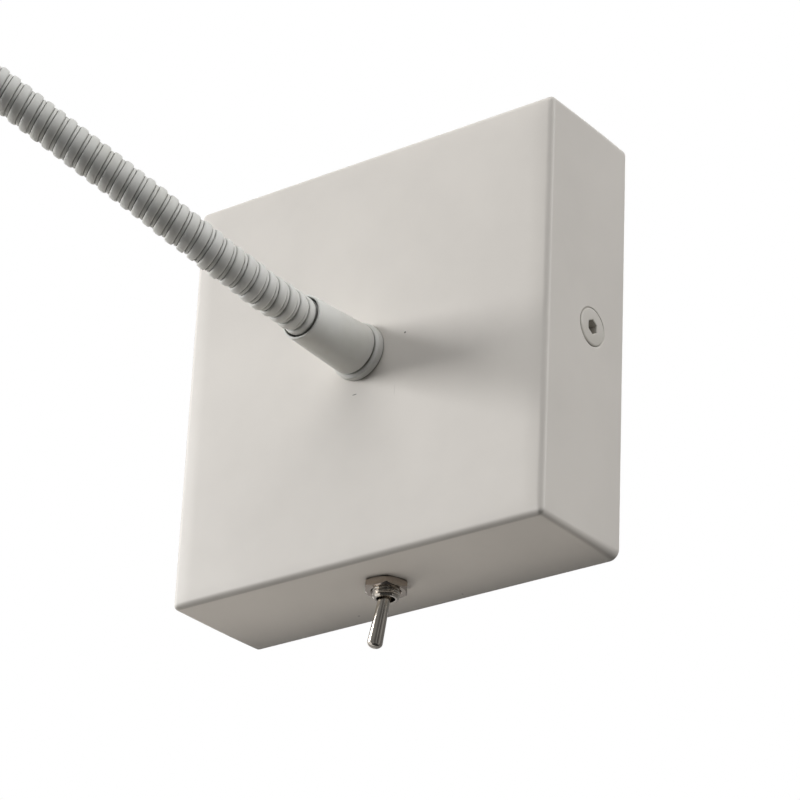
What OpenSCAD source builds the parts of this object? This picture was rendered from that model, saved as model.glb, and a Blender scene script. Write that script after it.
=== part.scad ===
// Wall reading lamp: a square wall box with a toggle switch and a flexible arm with a small head.
// The wall is the plane y = 0, the lamp stands out towards -Y, the origin is the middle of the wall plate.

/* [Wall box] */
// Width and height of the square cover
box_w = 100; // [94:1:130]
// Depth of the cover from the wall to its face
box_d = 28.5; // [27:0.5:40]
// Sheet thickness of the cover
box_wall = 2; // [1.5:0.1:2.5]
// Outside radius of the folded edges
box_edge_r = 1.4; // [1:0.1:3]

/* [Wall bracket] */
// Sheet thickness of the bracket
plate_t = 1.5; // [1.2:0.1:2]
// Height of the wall plate
plate_h = 84; // [80:1:88]
// Distance between the two wall screws
wall_hole_gap = 60; // [54:1:66]
// Diameter of the wall screw holes
wall_hole_d = 5; // [4:0.1:6]
// Height of the side flanges
flange_h = 24; // [16:1:30]
// Depth of the side flanges from the wall
flange_d = 18.5; // [17:0.5:21]
// Hole for the cable bush
cable_hole_d = 12; // [10:0.5:14]
// Cable passage through the bush
cable_bore_d = 8.5; // [6:0.1:9]

/* [Side screws] */
// Distance of the screws from the wall
screw_y = 11.5; // [10:0.1:13]
// Thread diameter
screw_d = 5; // [4:0.1:5]
// Diameter of the countersunk head
screw_head_d = 9.2; // [8.6:0.1:9.5]
// Length of the screw
screw_len = 12; // [10:0.5:14]
// Hexagon socket across its flats
socket_af = 3; // [2.5:0.1:3.2]
// Depth of the hexagon socket
socket_depth = 2; // [1.5:0.1:2.5]
// Diameter of the flange nuts
flange_nut_d = 9; // [8:0.1:11]
// Thickness of the flange nuts
flange_nut_t = 4; // [3:0.1:5]

/* [Stem] */
// Diameter of the collar on the face
collar_d = 13.2; // [12.6:0.1:16]
// Thickness of the collar
collar_t = 2.2; // [1.5:0.1:3]
// Width of the groove between collar and ferrule
groove_w = 0.4; // [0.2:0.1:0.8]
// Depth of that groove
groove_depth = 0.55; // [0.3:0.05:0.8]
// Ferrule diameter beside the collar
ferrule_base_d = 12; // [11:0.1:13]
// Ferrule diameter at its mouth
ferrule_mouth_d = 10.4; // [10.1:0.1:11.5]
// Length of the ferrule from the groove to its mouth
ferrule_len = 18.2; // [16:0.1:24]
// Diameter of the threaded tube through the cover
nipple_d = 8; // [7:0.1:8.4]
// Bore of the threaded tube
nipple_bore_d = 5; // [4:0.1:5.5]
// How far the threaded tube reaches into a ferrule
nipple_grip = 7.5; // [6:0.1:8]

/* [Flexible arm] */
// Outside diameter of the arm
flex_d = 8.4; // [8:0.1:8.6]
// Bore of the arm
flex_bore = 4; // [3.4:0.1:4.4]
// Length of arm held inside a ferrule
flex_grip = 8; // [6:0.5:8]
// Length of each short link beside the box
base_link = 5.9; // [5.5:0.1:7]
// Length of each long link towards the head
tip_link = 17.7; // [14:0.1:24]
// Largest bend at one link, in degrees
link_bend = 20; // [18:1:22]

/* [Toggle switch] */
// Distance of the switch from the wall
switch_y = 15.3; // [12:0.1:18]
// Thread diameter of the bushing
bushing_d = 6; // [5.8:0.1:6.5]
// How far the bushing stands out of the cover
bushing_out = 3.7; // [3.3:0.1:6]
// Nut across its flats
switch_nut_af = 8.8; // [8.4:0.1:10]
// Thickness of the nut
switch_nut_t = 2; // [1.5:0.1:2.5]
// Distance of the lever's pivot below the cover
lever_pivot = 1.4; // [1:0.1:2]
// Length of the lever from its pivot to its tip
lever_len = 13.4; // [11:0.1:18]
// Lever diameter at the bushing
lever_root_d = 2.3; // [2:0.05:2.4]
// Lever diameter at the tip
lever_tip_d = 3; // [2.6:0.05:3.4]
// Lean of the lever from the middle, in degrees
lever_lean = 11.5; // [8:0.5:12]
// Length of the switch body
switch_l = 13; // [12.7:0.1:15]
// Width of the switch body
switch_w = 8; // [7:0.1:9]
// Height of the switch body
switch_h = 9.5; // [8:0.1:10]

/* [Lamp head] */
// Outside diameter of the head
head_d = 32; // [30:0.5:40]
// Length of the tube between cap and front ring
head_tube_len = 42; // [40:0.5:60]
// Wall of the tube
head_wall = 1.6; // [1.2:0.1:2]
// Thickness of the rear cap
head_cap_t = 6; // [5:0.1:8]
// Rounding of the rear cap's edge
head_cap_r = 3; // [1:0.1:4]
// Length of the front ring
front_ring_t = 4; // [3.5:0.1:6]
// Clear opening of the front ring
front_open_d = 25; // [22:0.1:26]
// How far the lens lies behind the front edge
lens_recess = 1.8; // [1:0.1:2.5]

/* [Fits] */
// Play between pieces that seat in each other
seat = 0.1; // [0.05:0.01:0.15]
// Play of the balls in the arm and in the switch
ball_play = 0.08; // [0.04:0.01:0.1]

/* [Hidden] */
$fn = 64;

// Colours of the finishes
paint_box = "#d6d3cc";
paint_arm = "#c3c5c3";
nickel = "#b4b0a8";
zinc = "#b9bcbf";
brass = "#c2a24e";
black = "#2a2a2c";
white = "#ecebe6";
aluminium = "#b8bbbe";
phosphor = "#f2e3a0";
clear = "#dfe8ea";

// Overlap that joins solids of one piece, and overshoot of cuts
join = 0.3;
past = 1;

// Rest bends of the arm, link by link: up is positive for lifts, towards -X for swings
base_lifts = [6, 11, 8.5, 5];
base_swings = [9, 8.5, 7.5, 3.5];
tip_lifts = [0, 0, -12, -12, -12, -12, -12];
tip_swings = [0, 0, -3.5, -3.5, -3.5, -3.5, -3.5];
base_links = 2 * len(base_lifts);
links = base_links + 2 * len(tip_lifts);

// Arm section and the ball joint between links
flex_r = flex_d / 2;
link_gap_play = 0.23;
shoulder = flex_r * sin(link_bend) + link_gap_play;
socket_wall = 0.95;
socket_r = flex_r - socket_wall;
ball_r = socket_r - ball_play;
ball_tail = 1.8;
first_hinge_out = 1;
mouth_y = box_d + collar_t + groove_w + ferrule_len;
mouth_play = 0.3;
mouth_bore_d = flex_d + 2 * mouth_play;
stub_end_play = 1;
bore_step = ferrule_len - flex_grip - stub_end_play;
edge_break = 0.3;

// Inside of the box, and the places of the inner pieces
box_in = box_w / 2 - box_wall;
flange_play = 0.4;
flange_x = box_in - flange_play;
plate_x = flange_x - plate_t;
bush_rim = 1.5;
bush_flange_d = cable_hole_d + 2 * bush_rim;
bush_flange_t = 1.5;
nut_af = 12;
nut_t = 3.5;
nut_bevel = 30;
nut_face_in = 0.2;
washer_d = 14;
washer_t = 0.8;
nut_thread_out = 1;
nipple_back = box_wall + washer_t + nut_t + nut_thread_out;

// Light driver above the middle of the plate
driver_w = 68;
driver_h = 28;
driver_d = 15;
driver_lid_t = 2;
driver_wall = 1.6;
driver_z = 26;
ear_w = 8;
ear_t = 2.5;
m3_d = 3;
m3_head_d = 5.6;
m3_head_t = 1.8;

// Terminal block and earth point below the middle of the plate
poles = 3;
pole_gap = 9;
block_h = 17;
block_d = 13;
block_x = -26;
block_z = -23;
block_end = 0.5;
block_w = poles * pole_gap + 2 * block_end;
fixing_x = block_x + pole_gap / 2;
sleeve_d = 4.4;
sleeve_bore = 3;
sleeve_len = 14;
sleeve_y = 5;
clamp_d = 2.5;
clamp_hole_d = 3.6;
clamp_at = 4.2;
clamp_len = 5;
clamp_bite = 1;
earth_x = 24;
earth_z = -23;
earth_d = 4;
earth_head_d = 7.6;
earth_head_t = 2.4;
earth_washer_d = 9;
earth_washer_t = 0.8;
slot_w = 0.8;
slot_depth = 0.8;
head_flank = 0.6;
head_bevel = 0.5;

// Toggle switch above the cover's bottom
lock_washer_t = 0.5;
lock_washer_d = 9;
frame_t = 0.6;
bushing_bore_d = 4.1;
lever_ball_d = bushing_bore_d - 2 * ball_play;
lever_tail = 2.6;
lever_tail_d = 1.8;
tip_step = 0.02;
lug_t = 0.8;
lug_w = 2;
lug_len = 4.5;
lug_gap = 4.7;
frame_leg = 6;
bushing_flange_d = 7.4;
bushing_flange_t = 1;
switch_nut_turn = 7.5;
frame_at = box_wall + lock_washer_t;
body_at = frame_at + frame_t;

// Lamp head, measured along the arm from the mouth of its ferrule
head_spigot = 3;
head_in_d = head_d - 2 * head_wall;
cap_at = ferrule_len + groove_w;
tube_at = cap_at + head_cap_t;
ring_at = tube_at + head_tube_len;
head_front = ring_at + front_ring_t;
head_nipple_end = tube_at + head_spigot + nut_t + nut_thread_out;
lens_front = head_front - lens_recess;
lens_margin = 1;
lens_d = head_in_d - 2 * lens_margin;
lens_t = 9;
lens_back_d = 13;
lens_rim_t = 1.5;
front_flare = 0.8;
board_d = 25;
board_t = 1.6;
emitter_d = 7;
emitter_t = 1;
emitter_dome_d = 5;
lens_gap = 0.2;
lens_back = lens_front - lens_t;
well_d = 8;
well_depth = 4;
board_at = lens_back - lens_gap - board_t;
sink_web = 4;
sink_len = 16;
sink_fins = 10;
sink_fin_t = 1.6;
sink_core_d = 12;
sink_at = board_at - sink_web;
board_screw_d = 2.5;
board_screw_head_d = 4;
board_screw_head_t = 1.2;
board_screw_len = 4.5;
board_screw_r = 9.8;

function link_len(i) = i <= base_links ? base_link : tip_link;
function link_name(i) = str("arm_link_", i < 10 ? "0" : "", i);

// Odd links lift about X and even links swing about Z
function link_rest(i) =
  let (in_base = i <= base_links, k = floor(((in_base ? i : i - base_links) - 1) / 2))
  i % 2 == 1 ? [-(in_base ? base_lifts : tip_lifts)[k], 0, 0]
             : [0, 0, -(in_base ? base_swings : tip_swings)[k]];

// Puts its children in the frame of a link: origin at the link's hinge, -Y along the link
module at_link(i) {
  if (i == 0)
    translate([0, -mouth_y - first_hinge_out, 0]) children();
  else
    at_link(i - 1) translate([0, i == 1 ? 0 : -link_len(i - 1), 0]) rotate(link_rest(i)) children();
}

// Turns a shape that stands along Z so that it points out of the wall
module outward() {
  rotate([90, 0, 0]) children();
}

// Puts its children in the frame of the lamp head: origin at the mouth of its ferrule, Z to the front
module at_head() {
  at_link(links) translate([0, -link_len(links), 0]) outward() children();
}

// Ring between two radii, from one height to another
module ring(r_in, r_out, from, to) {
  rotate_extrude() translate([r_in, from]) square([r_out - r_in, to - from]);
}

// Hexagon nut with its flats across the given size, a round hole and its corners turned off at both faces
module hex_nut(af, t, hole_d) {
  corner_r = af / 2 / cos(30);
  face_r = af / 2 - nut_face_in;
  turned_r = corner_r + join;
  drop = (turned_r - face_r) * tan(nut_bevel);
  difference() {
    intersection() {
      cylinder(r = corner_r, h = t, $fn = 6);
      rotate_extrude()
        polygon([[0, 0], [face_r, 0], [turned_r, drop], [turned_r, t - drop], [face_r, t], [0, t]]);
    }
    translate([0, 0, -past]) cylinder(d = hole_d, h = t + 2 * past);
  }
}

// Slotted pan-head screw: head above the plane z = 0, shank below it
module pan_screw(d, head_d, head_t, len) {
  difference() {
    union() {
      translate([0, 0, -len]) cylinder(d = d, h = len + join);
      rotate_extrude() polygon([[0, 0], [head_d / 2, 0], [head_d / 2, head_t * head_flank],
        [head_d / 2 - head_bevel, head_t], [0, head_t]]);
    }
    translate([-head_d, -slot_w / 2, head_t - slot_depth]) cube([2 * head_d, slot_w, slot_depth + past]);
  }
}

// Section through an edge of the cover: one wall, with the bend at the front
module bend_profile() {
  r = box_edge_r;
  square([r, box_d - r]);
  translate([0, box_d - r]) intersection() {
    circle(r = r);
    square(r);
  }
}

// Outside of the cover: a core, four edges with the bend along them, and four corners that it turns round
module box_solid() {
  edge = box_w / 2 - box_edge_r;
  translate([-edge, -box_d, -edge]) cube([2 * edge, box_d, 2 * edge]);
  outward() for (turn = [0, 90, 180, 270]) rotate([0, 0, turn]) translate([edge, edge, 0]) {
    rotate_extrude(angle = 90) bend_profile();
    rotate([90, 0, 0]) linear_extrude(2 * edge) bend_profile();
  }
}

// Countersunk cone of a side screw, in the frame of side_place: outer face at z = 0, inside below
module countersink(play) {
  r = screw_head_d / 2 + play;
  rotate_extrude() polygon([[0, 0], [r, 0], [screw_d / 2 + play, -(screw_head_d - screw_d) / 2],
    [screw_d / 2 + play, -screw_len], [0, -screw_len]]);
}

// Puts its children on both side faces of the box, with Z pointing out of the face
module side_places() {
  for (s = [-1, 1])
    translate([s * box_w / 2, -screw_y, 0]) rotate([0, s * 90, 0]) children();
}

module cover() {
  color(paint_box)
  difference() {
    box_solid();
    translate([-box_in, -box_d + box_wall, -box_in]) cube([2 * box_in, box_d, 2 * box_in]);
    translate([0, -box_d + box_wall + past, 0]) outward()
      cylinder(d = nipple_d + 2 * seat, h = box_wall + 2 * past);
    translate([0, -switch_y, -box_w / 2 - past]) cylinder(d = bushing_d + 2 * seat, h = box_wall + 2 * past);
    side_places() {
      countersink(seat);
      cylinder(d = screw_head_d + 2 * seat, h = past);
    }
  }
}

// Section of a side flange: the bend beside the plate, then the straight leg
module flange_profile() {
  translate([0, plate_t - flange_d]) square([plate_t, flange_d - plate_t]);
  intersection() {
    circle(r = plate_t);
    square(plate_t);
  }
}

module mounting_bracket() {
  color(zinc)
  difference() {
    union() {
      translate([-plate_x, -plate_t, -plate_h / 2]) cube([2 * plate_x, plate_t, plate_h]);
      for (s = [0, 1])
        mirror([s, 0, 0]) translate([plate_x, -plate_t, -flange_h / 2])
          linear_extrude(flange_h) flange_profile();
    }
    for (s = [-1, 1])
      translate([s * wall_hole_gap / 2, past, 0]) outward() cylinder(d = wall_hole_d, h = plate_t + 2 * past);
    translate([0, past, 0]) outward() cylinder(d = cable_hole_d, h = plate_t + 2 * past);
    translate([earth_x, past, earth_z]) outward() cylinder(d = earth_d + 2 * seat, h = plate_t + 2 * past);
    translate([fixing_x, past, block_z]) outward() cylinder(d = m3_d + 2 * seat, h = plate_t + 2 * past);
    for (s = [-1, 1])
      translate([s * (driver_w + ear_w) / 2, past, driver_z]) outward()
        cylinder(d = m3_d + 2 * seat, h = plate_t + 2 * past);
    side_places() translate([0, 0, -screw_len]) cylinder(d = screw_d + 2 * seat, h = screw_len);
  }
}

module side_screws() {
  color(paint_box)
  side_places() difference() {
    countersink(0);
    translate([0, 0, -socket_depth]) cylinder(d = socket_af / cos(30), h = socket_depth + past, $fn = 6);
  }
}

module flange_nuts() {
  color(zinc)
  side_places() translate([0, 0, -(box_w / 2 - flange_x + plate_t)])
    ring(screw_d / 2 + seat, flange_nut_d / 2, -flange_nut_t, 0);
}

module cable_bush() {
  color(black)
  outward() {
    ring(cable_bore_d / 2, cable_hole_d / 2 - seat, 0, plate_t + join);
    ring(cable_bore_d / 2, bush_flange_d / 2, plate_t, plate_t + bush_flange_t);
  }
}

// Middle of each pole of the terminal block
function pole_x(k) = block_x + (k - (poles - 1) / 2) * pole_gap;

module terminal_block() {
  color(white)
  difference() {
    translate([block_x - block_w / 2, -plate_t - block_d, block_z - block_h / 2])
      cube([block_w, block_d, block_h]);
    for (k = [0 : poles - 1]) {
      translate([pole_x(k), -plate_t - sleeve_y, block_z - block_h / 2 - past])
        cylinder(d = sleeve_d + 2 * seat, h = block_h + 2 * past);
      for (s = [-1, 1])
        translate([pole_x(k), -plate_t - sleeve_y, block_z + s * clamp_at]) outward()
          cylinder(d = clamp_hole_d, h = block_d);
    }
    translate([fixing_x, past, block_z]) outward()
      cylinder(d = m3_d + 2 * seat, h = plate_t + block_d + 2 * past);
  }
}

module terminal_sleeves() {
  color(brass)
  for (k = [0 : poles - 1])
    translate([pole_x(k), -plate_t - sleeve_y, block_z]) difference() {
      translate([0, 0, -sleeve_len / 2]) cylinder(d = sleeve_d, h = sleeve_len);
      translate([0, 0, -sleeve_len / 2 - past]) cylinder(d = sleeve_bore, h = sleeve_len + 2 * past);
      for (s = [-1, 1])
        translate([0, 0, s * clamp_at]) outward() cylinder(d = clamp_d + 2 * seat, h = sleeve_d);
    }
}

module terminal_screws() {
  color(zinc)
  for (k = [0 : poles - 1], s = [-1, 1])
    translate([pole_x(k), -plate_t - sleeve_y - sleeve_bore / 2, block_z + s * clamp_at]) outward()
      difference() {
        translate([0, 0, -clamp_bite]) cylinder(d = clamp_d, h = clamp_len);
        translate([-clamp_d, -slot_w / 2, clamp_len - clamp_bite - slot_depth])
          cube([2 * clamp_d, slot_w, slot_depth + past]);
      }
}

module terminal_fixing_screw() {
  color(zinc)
  translate([fixing_x, -plate_t - block_d, block_z]) outward()
    pan_screw(m3_d, m3_head_d, m3_head_t, block_d + plate_t);
}

module earth_screw() {
  color(brass)
  translate([earth_x, -plate_t - earth_washer_t, earth_z]) outward()
    pan_screw(earth_d, earth_head_d, earth_head_t, plate_t + earth_washer_t);
}

module earth_washer() {
  color(brass)
  translate([earth_x, 0, earth_z]) outward()
    ring(earth_d / 2 + seat, earth_washer_d / 2, plate_t, plate_t + earth_washer_t);
}

module driver_case() {
  well_w = driver_w - 2 * driver_wall;
  well_h = driver_h - 2 * driver_wall;
  color(white)
  difference() {
    union() {
      translate([-driver_w / 2, -plate_t - driver_d, driver_z - driver_h / 2])
        cube([driver_w, driver_d, driver_h]);
      translate([-driver_w / 2 - ear_w, -plate_t - ear_t, driver_z - ear_w / 2])
        cube([driver_w + 2 * ear_w, ear_t, ear_w]);
    }
    translate([-well_w / 2, -plate_t - driver_d - past, driver_z - well_h / 2])
      cube([well_w, driver_d - driver_wall + past, well_h]);
    for (s = [-1, 1])
      translate([s * (driver_w + ear_w) / 2, past, driver_z]) outward()
        cylinder(d = m3_d + 2 * seat, h = plate_t + ear_t + 2 * past);
  }
}

module driver_lid() {
  lip_w = driver_w - 2 * driver_wall - 2 * seat;
  lip_h = driver_h - 2 * driver_wall - 2 * seat;
  color(white)
  translate([0, -plate_t - driver_d, driver_z]) {
    translate([-driver_w / 2, -driver_lid_t, -driver_h / 2]) cube([driver_w, driver_lid_t, driver_h]);
    translate([-lip_w / 2, -join, -lip_h / 2]) cube([lip_w, driver_lid_t + join, lip_h]);
  }
}

module driver_screws() {
  color(zinc)
  for (s = [-1, 1])
    translate([s * (driver_w + ear_w) / 2, -plate_t - ear_t, driver_z]) outward()
      pan_screw(m3_d, m3_head_d, m3_head_t, ear_t + plate_t);
}

// Puts its children on the switch axis at the outer face of the cover's bottom
module at_switch() {
  translate([0, -switch_y, -box_w / 2]) children();
}

module switch_lock_washer() {
  color(zinc)
  at_switch() ring(bushing_d / 2 + seat, lock_washer_d / 2, box_wall, frame_at);
}

module switch_frame() {
  span = switch_w + 2 * seat + 2 * frame_t;
  color(zinc)
  at_switch() difference() {
    translate([-switch_l / 2, -span / 2, frame_at]) cube([switch_l, span, frame_t + frame_leg]);
    translate([-switch_l, -switch_w / 2 - seat, body_at]) cube([2 * switch_l, switch_w + 2 * seat, switch_h]);
    cylinder(d = bushing_d + 2 * seat, h = body_at + past);
  }
}

module switch_bushing() {
  r = bushing_d / 2;
  bore_r = bushing_bore_d / 2;
  color(nickel)
  at_switch() rotate_extrude() polygon([[bore_r, -bushing_out], [r - edge_break, -bushing_out],
    [r, edge_break - bushing_out], [r, body_at], [bushing_flange_d / 2, body_at],
    [bushing_flange_d / 2, body_at + bushing_flange_t], [bore_r, body_at + bushing_flange_t]]);
}

module switch_body() {
  color(black)
  at_switch() difference() {
    translate([-switch_l / 2, -switch_w / 2, body_at]) cube([switch_l, switch_w, switch_h]);
    translate([0, 0, body_at - past]) cylinder(d = bushing_flange_d + 2 * seat, h = bushing_flange_t + past);
  }
}

module switch_terminals() {
  color(brass)
  at_switch()
    for (s = [-1, 1])
      translate([s * lug_gap / 2 - lug_t / 2, -lug_w / 2, body_at + switch_h]) cube([lug_t, lug_w, lug_len]);
}

module switch_nut() {
  color(nickel)
  at_switch() translate([0, 0, -switch_nut_t]) rotate([0, 0, switch_nut_turn])
    hex_nut(switch_nut_af, switch_nut_t, bushing_d + 2 * seat);
}

// Bat lever: ball in the bushing, slim root, thicker rounded tip and a short tail towards the contacts
module switch_lever() {
  tip_r = lever_tip_d / 2;
  shaft = lever_len - tip_r;
  color(nickel)
  at_switch() translate([0, 0, -lever_pivot]) rotate([0, lever_lean, 0]) {
    sphere(d = lever_ball_d);
    translate([0, 0, -shaft]) cylinder(r1 = tip_r - tip_step, r2 = lever_root_d / 2, h = shaft);
    translate([0, 0, -shaft]) sphere(r = tip_r);
    cylinder(d = lever_tail_d, h = lever_tail);
  }
}

// Puts its children on the middle of the cover's face, with Z pointing out of it
module at_face() {
  translate([0, -box_d, 0]) outward() children();
}

module base_collar() {
  r = collar_d / 2;
  color(paint_arm)
  at_face() rotate_extrude() polygon([[nipple_d / 2 + seat, 0], [r, 0], [r, collar_t - edge_break],
    [r - edge_break, collar_t], [nipple_d / 2 + seat, collar_t]]);
}

// Half section of a ferrule: groove spigot at 0, tapered sleeve, mouth at the far end
module ferrule_profile() {
  base_r = ferrule_base_d / 2;
  mouth_r = ferrule_mouth_d / 2;
  thread_r = nipple_d / 2 + seat;
  mouth = groove_w + ferrule_len;
  polygon([[thread_r, 0], [base_r - groove_depth, 0], [base_r - groove_depth, groove_w],
    [base_r - edge_break / 2, groove_w], [base_r, groove_w + edge_break / 2], [mouth_r, mouth - edge_break],
    [mouth_r - edge_break, mouth], [mouth_bore_d / 2, mouth], [mouth_bore_d / 2, groove_w + bore_step],
    [thread_r, groove_w + bore_step]]);
}

module base_ferrule() {
  color(paint_arm)
  at_face() translate([0, 0, collar_t]) rotate_extrude() ferrule_profile();
}

module arm_nipple() {
  color(brass)
  at_face() ring(nipple_bore_d / 2, nipple_d / 2, -nipple_back, collar_t + groove_w + nipple_grip);
}

module nipple_washer() {
  color(zinc)
  at_face() ring(nipple_d / 2 + seat, washer_d / 2, -box_wall - washer_t, -box_wall);
}

module nipple_nut() {
  color(brass)
  at_face() translate([0, 0, -box_wall - washer_t - nut_t]) hex_nut(nut_af, nut_t, nipple_d + 2 * seat);
}

// Half section of the arm between two heights
module flex_profile(from, to) {
  bore_r = flex_bore / 2;
  translate([bore_r, from]) square([flex_r - bore_r, to - from]);
}

// Ball that sits in the end of the link before
module ball_profile() {
  intersection() {
    circle(r = ball_r);
    translate([flex_bore / 2, -ball_tail]) square([ball_r, ball_tail + shoulder + join]);
  }
}

module arm_stub() {
  color(paint_arm)
  at_link(0) outward() rotate_extrude() difference() {
    flex_profile(-flex_grip - first_hinge_out, 0);
    circle(r = socket_r);
  }
}

module arm_link(i) {
  last = i == links;
  len = link_len(i) + (last ? flex_grip : 0);
  color(paint_arm)
  at_link(i) outward() rotate_extrude() difference() {
    union() {
      flex_profile(shoulder, len);
      ball_profile();
    }
    if (!last) translate([0, len]) circle(r = socket_r);
  }
}

module head_ferrule() {
  color(paint_arm)
  at_head() translate([0, 0, cap_at]) mirror([0, 0, 1]) rotate_extrude() ferrule_profile();
}

module head_nipple() {
  color(brass)
  at_head() ring(nipple_bore_d / 2, nipple_d / 2, ferrule_len - nipple_grip, head_nipple_end);
}

module head_nut() {
  color(brass)
  at_head() translate([0, 0, tube_at + head_spigot]) hex_nut(nut_af, nut_t, nipple_d + 2 * seat);
}

module head_cap() {
  r = head_d / 2;
  hole_r = nipple_d / 2 + seat;
  color(paint_arm)
  at_head() rotate_extrude() difference() {
    union() {
      translate([0, cap_at]) square([r - head_cap_r, head_cap_t]);
      translate([0, cap_at + head_cap_r]) square([r, head_cap_t - head_cap_r]);
      translate([r - head_cap_r, cap_at + head_cap_r]) circle(r = head_cap_r);
      translate([0, tube_at - join]) square([head_in_d / 2 - seat, head_spigot + join]);
    }
    translate([-r, cap_at - past]) square([r + hole_r, head_cap_t + head_spigot + 2 * past]);
  }
}

module head_tube() {
  color(paint_arm)
  at_head() ring(head_in_d / 2, head_d / 2, tube_at, ring_at);
}

module heat_sink() {
  fin_len = sink_len - sink_web;
  r = head_in_d / 2 - seat;
  color(aluminium)
  at_head() difference() {
    union() {
      translate([0, 0, sink_at]) cylinder(r = r, h = sink_web);
      translate([0, 0, sink_at - fin_len]) cylinder(d = sink_core_d, h = fin_len + join);
      intersection() {
        for (k = [0 : sink_fins - 1])
          rotate([0, 0, k * 360 / sink_fins]) translate([0, -sink_fin_t / 2, sink_at - fin_len])
            cube([head_d, sink_fin_t, fin_len + join]);
        translate([0, 0, sink_at - fin_len]) cylinder(r = r, h = fin_len + join);
      }
    }
    translate([0, 0, sink_at - fin_len - past]) cylinder(d = nipple_bore_d, h = sink_len + 2 * past);
    board_screw_places() translate([0, 0, sink_at - past])
      cylinder(d = board_screw_d + 2 * seat, h = sink_web + 2 * past);
  }
}

module board_screw_places() {
  for (s = [-1, 1])
    translate([s * board_screw_r, 0, 0]) children();
}

module led_board() {
  color(white)
  at_head() difference() {
    translate([0, 0, board_at]) cylinder(d = board_d, h = board_t);
    board_screw_places() translate([0, 0, board_at - past])
      cylinder(d = board_screw_d + 2 * seat, h = board_t + 2 * past);
  }
}

module board_screws() {
  color(zinc)
  at_head() board_screw_places() translate([0, 0, board_at + board_t])
    pan_screw(board_screw_d, board_screw_head_d, board_screw_head_t, board_screw_len);
}

module led_emitter() {
  top = board_at + board_t;
  color(phosphor)
  at_head() rotate_extrude() intersection() {
    union() {
      translate([0, top]) square([emitter_d / 2, emitter_t]);
      translate([0, top + emitter_t]) circle(d = emitter_dome_d);
    }
    translate([0, top]) square([emitter_d, emitter_t + emitter_dome_d]);
  }
}

module lens() {
  well_top = lens_back + well_depth;
  color(clear)
  at_head() rotate_extrude() polygon([[0, well_top], [well_d / 2, well_top], [well_d / 2, lens_back],
    [lens_back_d / 2, lens_back], [lens_d / 2, lens_front - lens_rim_t], [lens_d / 2, lens_front],
    [0, lens_front]]);
}

module front_ring() {
  r = head_d / 2;
  open_r = front_open_d / 2;
  seat_r = lens_d / 2 + seat;
  spigot_r = head_in_d / 2 - seat;
  back = ring_at - head_spigot;
  color(paint_arm)
  at_head() rotate_extrude() polygon([[open_r, lens_front], [open_r + front_flare, head_front],
    [r - edge_break, head_front], [r, head_front - edge_break], [r, ring_at], [spigot_r, ring_at],
    [spigot_r, back], [seat_r, back], [seat_r, lens_front]]);
}

cover();
mounting_bracket();
side_screws();
flange_nuts();
cable_bush();
terminal_block();
terminal_sleeves();
terminal_screws();
terminal_fixing_screw();
earth_screw();
earth_washer();
driver_case();
driver_lid();
driver_screws();
switch_frame();
switch_body();
switch_terminals();
switch_lock_washer();
switch_bushing();
switch_nut();
switch_lever();
base_collar();
base_ferrule();
arm_nipple();
nipple_washer();
nipple_nut();
arm_stub();
for (i = [1 : links])
  arm_link(i);
head_ferrule();
head_nipple();
head_nut();
head_cap();
head_tube();
heat_sink();
led_board();
board_screws();
led_emitter();
lens();
front_ring();
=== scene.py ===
"""Wall reading lamp: a square wall box with a toggle switch, a ribbed flexible arm and a small lamp head.

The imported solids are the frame. The pieces that show most are made again with their turned edges, spiral ribs and
threads, ride on the same bodies, and every piece gets a procedural finish.
"""

import logging
import math
from dataclasses import dataclass
from enum import Enum
from functools import partial
from typing import Any, Callable, ClassVar, Sequence

import bmesh
import bpy
import numpy as np
from mathutils import Matrix, Vector


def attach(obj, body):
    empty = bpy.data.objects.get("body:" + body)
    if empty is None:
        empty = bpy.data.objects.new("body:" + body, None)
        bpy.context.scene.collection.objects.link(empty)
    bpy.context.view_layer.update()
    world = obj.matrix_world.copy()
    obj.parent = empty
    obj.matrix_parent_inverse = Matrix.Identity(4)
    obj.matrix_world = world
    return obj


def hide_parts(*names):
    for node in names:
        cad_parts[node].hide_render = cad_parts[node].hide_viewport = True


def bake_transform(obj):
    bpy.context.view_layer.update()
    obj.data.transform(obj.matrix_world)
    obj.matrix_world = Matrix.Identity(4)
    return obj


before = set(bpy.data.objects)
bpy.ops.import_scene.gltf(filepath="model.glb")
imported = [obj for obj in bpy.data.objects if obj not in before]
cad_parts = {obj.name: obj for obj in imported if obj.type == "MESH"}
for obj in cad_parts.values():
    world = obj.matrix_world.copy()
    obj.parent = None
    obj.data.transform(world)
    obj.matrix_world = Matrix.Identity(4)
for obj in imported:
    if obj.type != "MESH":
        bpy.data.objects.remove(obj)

LOG = logging.getLogger("reading_lamp")
MM = 0.001  # one millimetre in metres
TINY = 1e-6  # a length that counts as nothing
CREASE = 32.0  # degrees above which an edge stays sharp
CORNER_SHARE = 0.49  # the most that a rounded corner takes of a side
Colour = tuple[float, float, float]
Point = tuple[float, float, float]
Section = Sequence[tuple[float, float]]
ByAngle = float | Callable[[float], float]
WHITE_LIGHT: Colour = (1.0, 1.0, 1.0)
WARM_LIGHT: Colour = (1.0, 0.95, 0.89)


def srgb(red: int, green: int, blue: int) -> Colour:
    """Turns a colour from 0 to 255 as it looks on screen into the linear values that a shader takes."""
    levels = [v / 255 for v in (red, green, blue)]
    return tuple(v / 12.92 if v <= 0.04045 else ((v + 0.055) / 1.055) ** 2.4 for v in levels)


def toned(colour: Colour, factor: float) -> Colour:
    """Gives a colour made darker or lighter by a factor."""
    return tuple(min(1.0, v * factor) for v in colour)


class Body(Enum):
    """Bodies that pieces ride on, apart from the other links of the arm."""

    BASE = "base"
    LEVER = "switch_lever"
    HEAD = "arm_22"


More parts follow.
